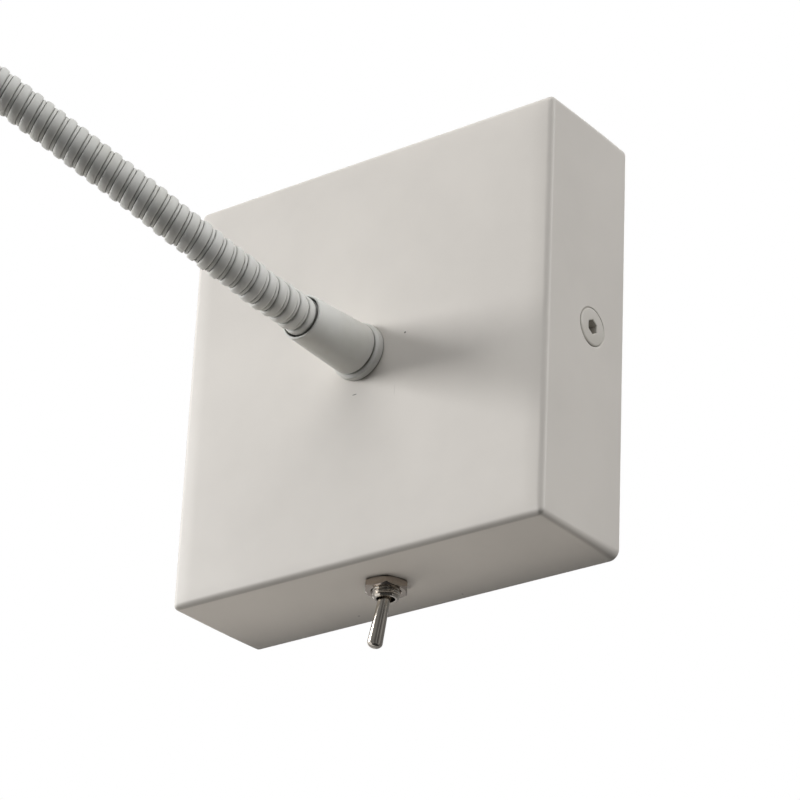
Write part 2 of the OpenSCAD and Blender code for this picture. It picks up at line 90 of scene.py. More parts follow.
class Slot(Enum):
    """Material slots."""

    BOX = "box_paint"
    ARM = "arm_paint"
    HEAD = "head_paint"
    NICKEL = "nickel"
    LENS = "clear_lens"


class Signal:
    """A value on a socket. Its operators add Math nodes to the graph that it belongs to."""

    def __init__(self, graph: "Graph", socket: bpy.types.NodeSocket) -> None:
        """Wraps a socket of a graph."""
        self.graph = graph
        self.socket = socket

    def _math(self, operation: str, first: Any, second: Any) -> "Signal":
        """Adds one Math node with two operands, each a Signal or a number."""
        return self.graph.signal("ShaderNodeMath", {"operation": operation}, {0: first, 1: second})

    def __add__(self, other: Any) -> "Signal":
        """Adds."""
        return self._math("ADD", self, other)

    def __radd__(self, other: Any) -> "Signal":
        """Adds, with the number first."""
        return self._math("ADD", other, self)

    def __sub__(self, other: Any) -> "Signal":
        """Subtracts."""
        return self._math("SUBTRACT", self, other)

    def __rsub__(self, other: Any) -> "Signal":
        """Subtracts from a number."""
        return self._math("SUBTRACT", other, self)

    def __mul__(self, other: Any) -> "Signal":
        """Multiplies."""
        return self._math("MULTIPLY", self, other)

    def __rmul__(self, other: Any) -> "Signal":
        """Multiplies, with the number first."""
        return self._math("MULTIPLY", other, self)

    def below(self, limit: Any) -> "Signal":
        """Gives 1 where the value is below the limit."""
        return self._math("LESS_THAN", self, limit)

    def above(self, limit: Any) -> "Signal":
        """Gives 1 where the value is above the limit."""
        return self._math("GREATER_THAN", self, limit)

    def ramp(self, low: float, high: float) -> "Signal":
        """Maps the span from low to high smoothly onto 0 to 1."""
        inputs = {"Value": self, "From Min": low, "From Max": high}
        return self.graph.signal("ShaderNodeMapRange", {"interpolation_type": "SMOOTHSTEP"}, inputs)


class Graph:
    """The nodes of one material or of the surround."""

    def __init__(self, tree: bpy.types.NodeTree) -> None:
        """Starts with an empty node tree."""
        self.tree = tree
        self.tree.nodes.clear()

    def node(self, kind: str, settings: dict | None = None, inputs: dict | None = None) -> bpy.types.Node:
        """Adds a node.

        Args:
            kind: The node's type.
            settings: Attributes, set first.
            inputs: Socket name or index to a value, a socket or a Signal.

        Returns:
            The node.
        """
        made = self.tree.nodes.new(kind)
        for key, value in (settings or {}).items():
            setattr(made, key, value)
        for key, value in (inputs or {}).items():
            self.feed(made.inputs[key], value)
        return made

    def feed(self, socket: bpy.types.NodeSocket, value: Any) -> None:
        """Sets a socket or links something to it.

        Args:
            socket: The input socket.
            value: A number, a colour, a vector, a socket or a Signal.
        """
        if isinstance(value, Signal):
            value = value.socket
        if isinstance(value, bpy.types.NodeSocket):
            self.tree.links.new(value, socket)
        elif socket.type == "RGBA" and len(value) == 3:
            socket.default_value = (*value, 1.0)
        else:
            socket.default_value = value

    def signal(self, kind: str, settings: dict | None = None, inputs: dict | None = None,
               output: int | str = 0) -> Signal:
        """Adds a node and wraps one of its outputs."""
        return Signal(self, self.node(kind, settings, inputs).outputs[output])

    def vector(self, operation: str, *operands: Any, output: int | str = 0) -> Signal:
        """Adds one Vector Math node with its operands and wraps one of its outputs."""
        return self.signal("ShaderNodeVectorMath", {"operation": operation}, dict(enumerate(operands)), output)

    def place(self) -> Signal:
        """Gives the point on the piece in its own space, in metres."""
        return self.signal("ShaderNodeTexCoord", output="Object")

    def facing(self, way: Point) -> Signal:
        """Gives how far the surface faces a direction of the piece's own space, from 0 to 1."""
        normal = self.signal("ShaderNodeTexCoord", output="Normal")
        return self.vector("DOT_PRODUCT", normal, way, output="Value").ramp(0, 1)

    def noise(self, size_mm: float, detail: float = 2.0, where: Signal | None = None) -> Signal:
        """Adds soft noise with cells of a size, read at a point or else in the piece's own space."""
        inputs = {"Vector": where or self.place(), "Scale": 1000 / size_mm, "Detail": detail, "Roughness": 0.55}
        return self.signal("ShaderNodeTexNoise", inputs=inputs)

    def cells(self, size_mm: float, output: str = "Distance") -> Signal:
        """Adds cellular noise with cells of a size and wraps one of its outputs."""
        inputs = {"Vector": self.place(), "Scale": 1000 / size_mm}
        return self.signal("ShaderNodeTexVoronoi", inputs=inputs, output=output)

    def lot(self, size_mm: float) -> Signal:
        """Gives each cell of the cellular noise a number of its own from 0 to 1."""
        return self.signal("ShaderNodeSeparateColor", inputs={0: self.cells(size_mm, "Color")})

    def mix(self, factor: Any, first: Any, second: Any) -> Signal:
        """Mixes two colours by the share of the second."""
        settings = {"data_type": "RGBA", "clamp_factor": True}
        return self.signal("ShaderNodeMix", settings, {"Factor": factor, 6: first, 7: second}, output=2)

    def hollow_shade(self, reach_mm: float) -> Signal:
        """Gives how deep a point lies in a seam or a corner of a given reach, from 0 in the open to 1, from ambient
        occlusion; the finishes darken by it as painted shade.
        """
        lit = self.signal("ShaderNodeAmbientOcclusion", {"samples": 8}, {"Distance": reach_mm * MM}, "AO")
        return (1 - lit).ramp(0.3, 0.9)

    def bump(self, height: Any, strength: float, depth_mm: float) -> Signal:
        """Turns a height from 0 to 1 into a normal."""
        inputs = {"Height": height, "Strength": strength, "Distance": depth_mm * MM}
        return self.signal("ShaderNodeBump", inputs=inputs)


class Surface(Graph):
    """A material with one shader."""

    def __init__(self, name: str) -> None:
        """Starts a material with a shader and an output.

        Args:
            name: Name of the material.
        """
        self.material = bpy.data.materials.new(name)
        self.material.use_nodes = True
        super().__init__(self.material.node_tree)
        self.shader = self.node("ShaderNodeBsdfPrincipled")
        self.output = self.node("ShaderNodeOutputMaterial", inputs={"Surface": self.shader.outputs[0]})

    def finish(self, **sockets: Any) -> bpy.types.Material:
        """Feeds the shader and gives the material.

        Args:
            **sockets: Socket names with underscores for spaces, and their values.

        Returns:
            The finished material.
        """
        for key, value in sockets.items():
            self.feed(self.shader.inputs[key.replace("_", " ")], value)
        return self.material


@dataclass(frozen=True)
class Mark:
    """A small flaw at one place on a piece, also used for the painted shade of a small recess: its middle and its
    reach along each axis, in millimetres.
    """

    middle: Point
    reach: Point
    strength: float

    def on(self, g: Graph) -> Signal:
        """Gives the strength of the mark over a piece.

        Args:
            g: Graph of the piece's finish.

        Returns:
            The strength, 0 away from the mark.
        """
        middle, reach = (tuple(v * MM for v in point) for point in (self.middle, self.reach))
        scaled = g.vector("DIVIDE", g.vector("SUBTRACT", g.place(), middle), reach)
        return g.vector("LENGTH", scaled, output="Value").ramp(1.0, 0.5) * self.strength


@dataclass(frozen=True)
class PowderCoat:
    """Sprayed and baked coat with a fine peel, slight clouds, a few dark specks, the marks of handling, and painted
    shade in its seams and corners and over its lower front bend.
    """

    name: str
    colour: Colour
    marks: Sequence[Mark] = ()
    # Dark colour for the marks, and for the painted shade in seams, corners and on the lower front bend.
    grime_and_shade: Colour = srgb(58, 52, 46)
    roughness: float = 0.5
    cloud_mm: float = 28
    clouds: float = 0.06
    grain_mm: float = 0.22
    peel_mm: float = 0.9
    peel_depth: float = 0.05
    speck_colour: Colour = srgb(70, 68, 60)
    speck_mm: float = 11
    speck_size: float = 0.024
    speck_rarity: float = 0.86
    specks: float = 0.55
    seam_mm: float = 0.8
    seam_shade: float = 0.8
    bend_shade: float = 0.54

    def make(self) -> bpy.types.Material:
        """Builds the material.

        Returns:
            The material.
        """
        g = Surface(self.name)
        cloud, grain = g.noise(self.cloud_mm, 3), g.noise(self.grain_mm)
        coat = g.mix(cloud.ramp(0.3, 0.75), self.colour, toned(self.colour, 1 - self.clouds))
        speck = g.cells(self.speck_mm).below(self.speck_size) * g.lot(self.speck_mm).above(self.speck_rarity)
        coat = g.mix(speck * self.specks, coat, self.speck_colour)
        for mark in self.marks:
            coat = g.mix(mark.on(g), coat, self.grime_and_shade)
        # Painted shade: the lower front bend, where the surface faces front and down, is darkened toward the dark
        # colour, standing in for the shade it gets there.
        lower_bend_shade = g.facing((0, -1, 0)) * g.facing((0, 0, -1))
        coat = g.mix(lower_bend_shade * self.bend_shade, coat, self.grime_and_shade)
        # Painted shade: seams, grooves and corners are darkened by ambient occlusion.
        coat = g.mix(g.hollow_shade(self.seam_mm) * self.seam_shade, coat, self.grime_and_shade)
        rough = self.roughness + (grain - 0.5) * 0.1 + (cloud - 0.5) * 0.08
        normal = g.bump(g.noise(self.peel_mm) * 0.8 + grain * 0.2, 0.35, self.peel_depth)
        return g.finish(Base_Color=coat, Roughness=rough, Normal=normal)


@dataclass(frozen=True)
class SatinPaint:
    """Thin satin paint on metal, with a soft grain, dusty patches, and painted shade in its seams and corners."""

    name: str
    colour: Colour
    roughness: float = 0.52
    grain_mm: float = 0.35
    grain_depth: float = 0.02
    seam_mm: float = 1.2
    seam_shade: float = 0.55
    patch_mm: float = 9
    dust: Colour = (0.93, 0.925, 0.9)
    # Dark colour of the painted shade in seams and corners.
    grime_and_shade: Colour = srgb(62, 60, 56)

    def make(self) -> bpy.types.Material:
        """Builds the material.

        Returns:
            The material.
        """
        g = Surface(self.name)
        patch, grain = g.noise(self.patch_mm, 3), g.noise(self.grain_mm)
        dusty = tuple(v * share for v, share in zip(self.colour, self.dust))
        paint = g.mix(patch.ramp(0.35, 0.8), self.colour, dusty)
        # Painted shade: seams, grooves and gaps are darkened by ambient occlusion.
        paint = g.mix(g.hollow_shade(self.seam_mm) * self.seam_shade, paint, self.grime_and_shade)
        rough = self.roughness + (grain - 0.5) * 0.12 + (patch - 0.5) * 0.1
        normal = g.bump(grain, 0.3, self.grain_depth)
        return g.finish(Base_Color=paint, Roughness=rough, Specular_IOR_Level=0.35, Normal=normal)


@dataclass(frozen=True)
class PlatedMetal:
    """Bright or dull metal with fine lines, faint stains and small scratches."""

    name: str
    colour: Colour
    roughness: float
    lines: Point = (1.0, 1.0, 8.0)
    stain: float = 0.18
    spangle: float = 0.0
    spangle_mm: float = 2.4
    spangle_light: float = 1.35
    cloud_mm: float = 3.5
    scratch_mm: float = 1.1

    def make(self) -> bpy.types.Material:
        """Builds the material.

        Returns:
            The material.
        """
        g = Surface(self.name)
        cloud = g.noise(self.cloud_mm, 3)
        metal = g.mix(cloud.ramp(0.4, 0.8), self.colour, toned(self.colour, 1 - self.stain))
        if self.spangle:
            flake = g.lot(self.spangle_mm) * self.spangle
            metal = g.mix(flake, metal, toned(self.colour, self.spangle_light))
        scratch = g.noise(self.scratch_mm, where=g.vector("MULTIPLY", g.place(), self.lines))
        rough = self.roughness * (1 + (scratch - 0.5) * 0.4 + (cloud - 0.5) * 0.3)
        return g.finish(Base_Color=metal, Metallic=1.0, Roughness=rough, Normal=g.bump(scratch, 0.12, 0.01))


@dataclass(frozen=True)
class MouldedPlastic:
    """Moulded plastic with a fine spark-eroded grain."""

    name: str
    colour: Colour
    roughness: float = 0.5
    grain_mm: float = 0.4
    patch_mm: float = 14
    patch_dark: float = 0.92

    def make(self) -> bpy.types.Material:
        """Builds the material.

        Returns:
            The material.
        """
        g = Surface(self.name)
        patch, grain = g.noise(self.patch_mm), g.noise(self.grain_mm, 3)
        tone = g.mix(patch.ramp(0.3, 0.8), self.colour, toned(self.colour, self.patch_dark))
        rough = self.roughness + (grain - 0.5) * 0.2
        return g.finish(Base_Color=tone, Roughness=rough, Normal=g.bump(grain, 0.25, 0.03))


@dataclass(frozen=True)
class ClearOptic:
    """Clear moulded lens with a faint pebbled front."""

    name: str
    colour: Colour
    pebble_mm: float = 1.3
    haze_mm: float = 6

    def make(self) -> bpy.types.Material:
        """Builds the material.

        Returns:
            The material.
        """
        g = Surface(self.name)
        rough = 0.05 + g.noise(self.haze_mm) * 0.05
        normal = g.bump(g.cells(self.pebble_mm), 0.15, 0.05)
        return g.finish(Base_Color=self.colour, Roughness=rough, Transmission_Weight=1.0, IOR=1.49, Normal=normal)


@dataclass(frozen=True)
class Phosphor:
    """Yellow gel over a light chip, with paler patches."""

    name: str
    colour: Colour
    gel_mm: float = 0.7
    pale: float = 1.15

    def make(self) -> bpy.types.Material:
        """Builds the material.

        Returns:
            The material.
        """
        g = Surface(self.name)
        gel = g.noise(self.gel_mm)
        tone = g.mix(gel.ramp(0.35, 0.7), self.colour, toned(self.colour, self.pale))
        return g.finish(Base_Color=tone, Roughness=0.22 + gel * 0.1, Normal=g.bump(gel, 0.1, 0.05))


BOX_MARKS = (
    Mark((12.3, -28.5, 1.8), (0.34, 0.5, 0.3), 0.95),
    Mark((-0.95, -28.5, -9.85), (0.75, 0.5, 0.16), 0.75),
    Mark((10.1, -28.5, -11.6), (0.14, 0.5, 1.6), 0.12),
    Mark((-16.4, -3.9, -50.0), (0.4, 0.3, 0.5), 0.5),
    # Painted shade: this dark dot at the front right bottom corner stands for the shade in the small relief where
    # three bends meet.
    Mark((49.6, -28.1, -49.6), (0.5, 0.5, 0.5), 0.55),
)


class Finish(Enum):
    """Every finish of the lamp."""

    BOX = PowderCoat("powder_coat_warm_white", srgb(218, 213, 206), BOX_MARKS)
    ARM = SatinPaint("satin_paint_grey", srgb(217, 217, 213))
    HEAD = SatinPaint("satin_paint_head", srgb(209, 209, 205), 0.45, 0.3, 0.015)
    # Painted shade: the screw's socket and the gap round its head get strong, wide darkening from ambient occlusion.
    SCREW = SatinPaint("painted_screw", srgb(210, 206, 199), 0.4, seam_mm=2.5, seam_shade=0.9)
    NICKEL = PlatedMetal("nickel_plate", srgb(205, 198, 188), 0.1)
    # Painted shade: the nut's nickel is a darker copy of the bushing's, partly for a duller plate and partly
    # standing in for the shade and dark reflections under the box.
    NUT = PlatedMetal("nickel_plate_nut", srgb(184, 173, 163), 0.12)
    ZINC = PlatedMetal("zinc_plate", srgb(190, 195, 200), 0.42, (6.0, 1.0, 1.0), 0.22, 0.35)
    BRASS = PlatedMetal("turned_brass", srgb(212, 175, 95), 0.3, (1.0, 9.0, 1.0), 0.25)
    ALUMINIUM = PlatedMetal("bare_aluminium", srgb(200, 203, 207), 0.38, (1.0, 7.0, 1.0), 0.12)
    BLACK = MouldedPlastic("black_plastic", srgb(42, 42, 44))
    WHITE = MouldedPlastic("white_plastic", srgb(236, 235, 230), 0.45)
    LENS = ClearOptic("clear_lens", srgb(240, 245, 246))
    PHOSPHOR = Phosphor("phosphor", srgb(238, 205, 96))


def placed(name: str, data: bpy.types.ID) -> bpy.types.Object:
    """Puts a mesh, a lamp or a camera into the scene.

    Args:
        name: Name of the object.
        data: What it shows.

    Returns:
        The object.
    """
    made = bpy.data.objects.new(name, data)
    bpy.context.scene.collection.objects.link(made)
    return made


def softened(corners: Sequence[Point], closed: bool = True, steps: int = 5) -> Section:
    """Rounds the corners of a half section.

    Args:
        corners: Radius, height and rounding of each corner, in millimetres.
        closed: True if the last corner joins the first.
        steps: Pieces of each rounded corner.

    Returns:
        The points of the rounded section.
    """
    points: list[tuple[float, float]] = []
    count = len(corners)
    for i, (r, z, radius) in enumerate(corners):
        here = np.array((r, z))
        if radius <= 0 or (not closed and i in (0, count - 1)):
            points.append((r, z))
            continue
        before = np.array(corners[i - 1][:2]) - here
        after = np.array(corners[(i + 1) % count][:2]) - here
        la, lb = np.linalg.norm(before), np.linalg.norm(after)
        a, b = before / la, after / lb
        half = math.acos(max(-1.0, min(1.0, float(a @ b)))) / 2
        reach = min(radius / math.tan(half), CORNER_SHARE * la, CORNER_SHARE * lb)
        for t in np.arange(steps + 1) / steps:
            p = here + a * reach * (1 - t) ** 2 + b * reach * t ** 2
            points.append((float(p[0]), float(p[1])))
    return points


def signed_volume(mesh: bpy.types.Mesh) -> float:
    """Gives a measure of the volume inside a mesh, negative if its faces point inwards.

    Args:
        mesh: A closed mesh.

    Returns:
        Six times the volume.
    """
    total = 0.0
    for face in mesh.polygons:
        corners = [mesh.vertices[i].co for i in face.vertices]
        for a, b in zip(corners[1:], corners[2:]):
            total += corners[0].dot(a.cross(b))
    return total


def faced(name: str, verts: Sequence[Any], faces: Sequence[Sequence[int]],
          crease: float | None = CREASE) -> bpy.types.Mesh:
    """Makes a mesh with outward faces, smooth apart from its creases.

    Args:
        name: Name of the mesh.
        verts: Points in the row frame.
        faces: Corners of each face. Repeated corners are dropped.
        crease: Angle above which an edge stays sharp, in degrees, or none for no creases.

    Returns:
        The mesh.
    """
    clean = [f for f in (list(dict.fromkeys(face)) for face in faces) if len(f) > 2]
    mesh = bpy.data.meshes.new(name)
    mesh.from_pydata([tuple(v) for v in verts], [], clean)
    mesh.validate()
    if signed_volume(mesh) < 0:
        mesh.flip_normals()
    mesh.shade_smooth()
    if crease is not None:
        mesh.set_sharp_from_angle(angle=math.radians(crease))
    return mesh


def turned(name: str, section: Sequence[tuple[ByAngle, ByAngle]], place: Matrix, closed: bool = True,
           segments: int = 96, crease: float = CREASE) -> bpy.types.Mesh:
    """Turns a half section about its axis, as on a lathe.

    Args:
        name: Name of the mesh.
        section: Radius and height of each point in millimetres, each a number or a function of the angle.
        place: Matrix from the turned frame, in millimetres, to the row frame.
        closed: True if the last point joins the first.
        segments: Steps round the axis.
        crease: Angle above which an edge stays sharp, in degrees.

    Returns:
        The mesh, in the row frame.
    """
    verts: list[Vector] = []
    rings: list[list[int]] = []
    for row in section:
        if not callable(row[0]) and row[0] < TINY:
            rings.append([len(verts)] * segments)
            verts.append(place @ Vector((0, 0, row[1])))
            continue
        rings.append(list(range(len(verts), len(verts) + segments)))
        for j in range(segments):
            a = 2 * math.pi * j / segments
            r, z = (v(a) if callable(v) else v for v in row)
            verts.append(place @ Vector((r * math.cos(a), r * math.sin(a), z)))
    pairs = zip(rings, rings[1:] + rings[:1] if closed else rings[1:])
    faces = [(p[j], p[(j + 1) % segments], q[(j + 1) % segments], q[j]) for p, q in pairs for j in range(segments)]
    return faced(name, verts, faces, crease)


def joined(name: str, meshes: Sequence[bpy.types.Mesh]) -> bpy.types.Mesh:
    """Puts several meshes into one and removes them.

    Args:
        name: Name of the new mesh.
        meshes: The meshes.

    Returns:
        The joined mesh.
    """
    verts, faces = [], []
    for mesh in meshes:
        start = len(verts)
        verts += [tuple(v.co) for v in mesh.vertices]
        faces += [[start + i for i in f.vertices] for f in mesh.polygons]
    for mesh in meshes:
        bpy.data.meshes.remove(mesh)
    return faced(name, verts, faces)


def hexagon(inradius: float, grow: float, angle: float) -> float:
    """Gives the distance from the middle of a hexagon to its edge in a direction, plus a given length."""
    sixth = math.pi / 3
    return inradius / math.cos(angle % sixth - sixth / 2) + grow


def outward() -> Matrix:
    """Gives the turn that points the Z axis out of the wall."""
    return Matrix.Rotation(math.pi / 2, 4, "X")


def metres(place: Matrix) -> Matrix:
    """Gives a placing matrix in millimetres as one that also scales to metres."""
    return Matrix.Scale(MM, 4) @ place


@dataclass
class SubAssembly:
    """A part of the lamp: pieces that are made again, and solids that stay and only get a finish."""

    finishes: dict[Finish, bpy.types.Material]
    dressing: ClassVar[dict[str, Finish]] = {}

    def publish(self, mesh: bpy.types.Mesh, finish: Finish, slot: Slot, node: str,
                body: str | None = Body.BASE.value) -> bpy.types.Object:
        """Puts a mesh in the scene as a piece that stands for a solid.

        Args:
            mesh: The mesh, in the row frame.
            finish: Its finish.
            slot: The slot for that finish. Not used.
            node: Name of the solid that it replaces.
            body: Body that it rides on, or none to leave it unattached.

        Returns:
            The piece.
        """
        piece = placed(mesh.name, mesh)
        mesh.materials.append(self.finishes[finish])
        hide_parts(node)
        if body:
            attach(piece, body)
        LOG.info("piece %s: %d faces, for %s", piece.name, len(mesh.polygons), node)
        return piece

    def dress(self) -> None:
        """Gives the solids that stay their finishes."""
        for node, finish in self.dressing.items():
            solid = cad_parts[node]
            solid.data.materials.clear()
            solid.data.materials.append(self.finishes[finish])
            LOG.info("solid %s: %s", node, finish.value.name)


@dataclass
class WallBox(SubAssembly):
    """Folded cover with its side screws, and what is screwed to the wall plate behind it.

    The curve of a screw head's rim is given as shares of its bevel, in from the rim and down from the top.
    """

    half: float = 50.0
    depth: float = 28.5
    edge_r: float = 1.4
    bow: float = 0.38
    bow_reach: float = 5.5
    bow_steps: int = 8
    rim_corner_r: float = 2.3
    corner_steps: int = 7
    screw_y: float = 11.5
    screw_len: float = 12.0
    screw_bevel: float = 0.4
    head_r: float = 4.4
    head_off: float = 0.2
    head_bevel: float = 0.5
    head_curve: Section = ((1.0, 0.0), (0.55, 0.1), (0.2, 0.4), (0.0, 1.0))
    shank_r: float = 2.5
    socket_af: float = 3.0
    socket_depth: float = 2.6
    socket_lip: float = 0.15
    socket_point: float = 0.6
    dressing: ClassVar[dict[str, Finish]] = {
        "mounting_bracket": Finish.ZINC, "flange_nuts": Finish.ZINC, "cable_bush": Finish.BLACK,
        "terminal_block": Finish.WHITE, "terminal_sleeves": Finish.BRASS, "terminal_screws": Finish.ZINC,
        "terminal_fixing_screw": Finish.ZINC, "earth_screw": Finish.BRASS, "earth_washer": Finish.BRASS,
        "driver_case": Finish.WHITE, "driver_lid": Finish.WHITE, "driver_screws": Finish.ZINC}

    def build(self) -> None:
        """Makes the cover and the side screws."""
        self.publish(self._cover(), Finish.BOX, Slot.BOX, "cover")
        screws = joined("side_screws_turned", [self._screw(side) for side in (-1, 1)])
        self.publish(screws, Finish.SCREW, Slot.BOX, "side_screws")

    def _cover(self) -> bpy.types.Mesh:
        """Makes the cover from its solid, with rounder corners and a face that bows back toward the bent edges.

        Returns:
            The mesh.
        """
        sheet = bmesh.new()
        sheet.from_mesh(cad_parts["cover"].data)
        bmesh.ops.remove_doubles(sheet, verts=sheet.verts, dist=TINY)
        flat = self.half - self.edge_r
        step = (self.bow_reach - self.edge_r) / self.bow_steps
        turn = (self.rim_corner_r - self.edge_r) / self.corner_steps
        lines = [flat - step * k for k in range(self.bow_steps + 1)]
        lines += [flat - turn * k for k in range(1, self.corner_steps + 1)]
        for away in lines:
            for side in (-1, 1):
                self._cut(sheet, Vector((side, 0, 0)), away)
                self._cut(sheet, Vector((0, 0, side)), away)
        self._cut(sheet, Vector((0, -1, 0)), self.depth - self.edge_r - step)
        for k in range(1, self.corner_steps):
            self._cut(sheet, Vector((0, -1, 0)), self.depth * (k / self.corner_steps) ** 2)
        for vert in sheet.verts:
            place = vert.co / MM
            vert.co = (self._rounded(place) + Vector((0, self._bow(place), 0))) * MM
        sheet.verts.index_update()
        mesh = faced("cover_bowed", [v.co for v in sheet.verts], [[v.index for v in f.verts] for f in sheet.faces])
        sheet.free()
        return mesh

    @staticmethod
    def _cut(sheet: bmesh.types.BMesh, normal: Vector, away: float) -> None:
        """Cuts the faces of a mesh along a plane, at a distance in millimetres from the middle of the wall side."""
        everything = [*sheet.verts, *sheet.edges, *sheet.faces]
        bmesh.ops.bisect_plane(sheet, geom=everything, plane_co=normal * away * MM, plane_no=normal)

    def _bow(self, place: Vector) -> float:
        """Gives how far the face is bowed back at a point.

        Args:
            place: The point, in millimetres.

        Returns:
            The distance, in millimetres.
        """
        near = [max(0.0, 1 - (self.half - abs(v)) / self.bow_reach) ** 2 for v in (place.x, place.z)]
        front = max(0.0, 1 - (self.depth + place.y) / self.edge_r)
        return self.bow * front * (1 - (1 - near[0]) * (1 - near[1]))

    def _rounded(self, place: Vector) -> Vector:
        """Gives where a point goes as the corners between the sides get rounder toward the wall.

        Args:
            place: The point, in millimetres.

        Returns:
            The new place, in millimetres.
        """
        near_wall = max(0.0, 1 + place.y / self.depth)
        radius = self.edge_r + (self.rim_corner_r - self.edge_r) * near_wall ** 3
        middle = self.half - radius
        past = Vector((abs(place.x) - middle, abs(place.z) - middle))
        if min(past) <= 0:
            return place.copy()
        way = past.normalized()
        inner = radius - self.edge_r
        along = inner * (way.x + way.y)
        reach = radius / max(way)
        if reach * min(way) > inner:
            reach = along + math.sqrt(along ** 2 - 2 * inner ** 2 + self.edge_r ** 2)
        past *= radius / reach
        return Vector((math.copysign(middle + past.x, place.x), place.y, math.copysign(middle + past.y, place.z)))

    def _screw(self, side: int) -> bpy.types.Mesh:
        """Makes one countersunk screw with a hexagon socket.

        Args:
            side: -1 for the left side of the box and 1 for the right side.

        Returns:
            The mesh.
        """
        lean = Matrix.Rotation(side * math.pi / 2, 4, "Y")
        place = metres(Matrix.Translation((side * self.half, -self.screw_y + self.head_off, self.head_off)) @ lean)
        wall, mouth = (partial(hexagon, self.socket_af / 2, grow) for grow in (0.0, self.socket_lip))
        bevel, end = self.head_bevel, -self.screw_len
        section = [(0.0, -self.socket_depth - self.socket_point), (wall, -self.socket_depth),
                   (wall, -self.socket_lip), (mouth, 0.0),
                   *[(self.head_r - bevel * inside, -bevel * down) for inside, down in self.head_curve],
                   (self.shank_r, self.shank_r - self.head_r), (self.shank_r, end + self.screw_bevel),
                   (self.shank_r - self.screw_bevel, end), (0.0, end)]
        return turned("screw", section, place, closed=False)


@dataclass
class Stem(SubAssembly):
    """Collar and tapered ferrule that hold the arm on the face of the box."""

    face: float = 28.5
    collar_r: float = 6.6
    collar_t: float = 2.2
    collar_bevel: float = 0.55
    groove_w: float = 0.42
    groove_depth: float = 1.5
    base_r: float = 6.0
    mouth_r: float = 5.2
    length: float = 18.18
    bore_r: float = 4.72
    thread_r: float = 4.1
    bore_step: float = 9.2
    segments: int = 128
    dressing: ClassVar[dict[str, Finish]] = {
        "arm_nipple": Finish.BRASS, "nipple_washer": Finish.ZINC, "nipple_nut": Finish.BRASS}

    def ferrule_section(self) -> Section:
        """Gives the half section of a ferrule with its groove at height 0.

        Returns:
            The section.
        """
        groove, mouth, step = self.groove_w, self.groove_w + self.length, self.groove_w + self.bore_step
        neck = self.base_r - self.groove_depth
        return softened([(self.thread_r, 0, 0), (neck, 0, 0), (neck, groove, 0), (self.base_r, groove, 0.16),
                         (self.mouth_r, mouth, 0.3), (self.bore_r, mouth, 0.15), (self.bore_r, step, 0),
                         (self.thread_r, step, 0)])

    def build(self) -> None:
        """Makes the collar and the ferrule of the base."""
        on_face = metres(Matrix.Translation((0, -self.face, 0)) @ outward())
        on_collar = on_face @ Matrix.Translation((0, 0, self.collar_t))
        bevel = self.collar_bevel
        ring = softened([(self.thread_r, 0, 0), (self.collar_r, 0, 0.3), (self.collar_r, self.collar_t - bevel, 0.3),
                         (self.collar_r - bevel, self.collar_t, 0.15), (self.thread_r, self.collar_t, 0)])
        collar = turned("collar_turned", ring, on_face, segments=self.segments)
        ferrule = turned("ferrule_turned", self.ferrule_section(), on_collar, segments=self.segments)
        self.publish(collar, Finish.ARM, Slot.ARM, "base_collar")
        self.publish(ferrule, Finish.ARM, Slot.ARM, "base_ferrule")


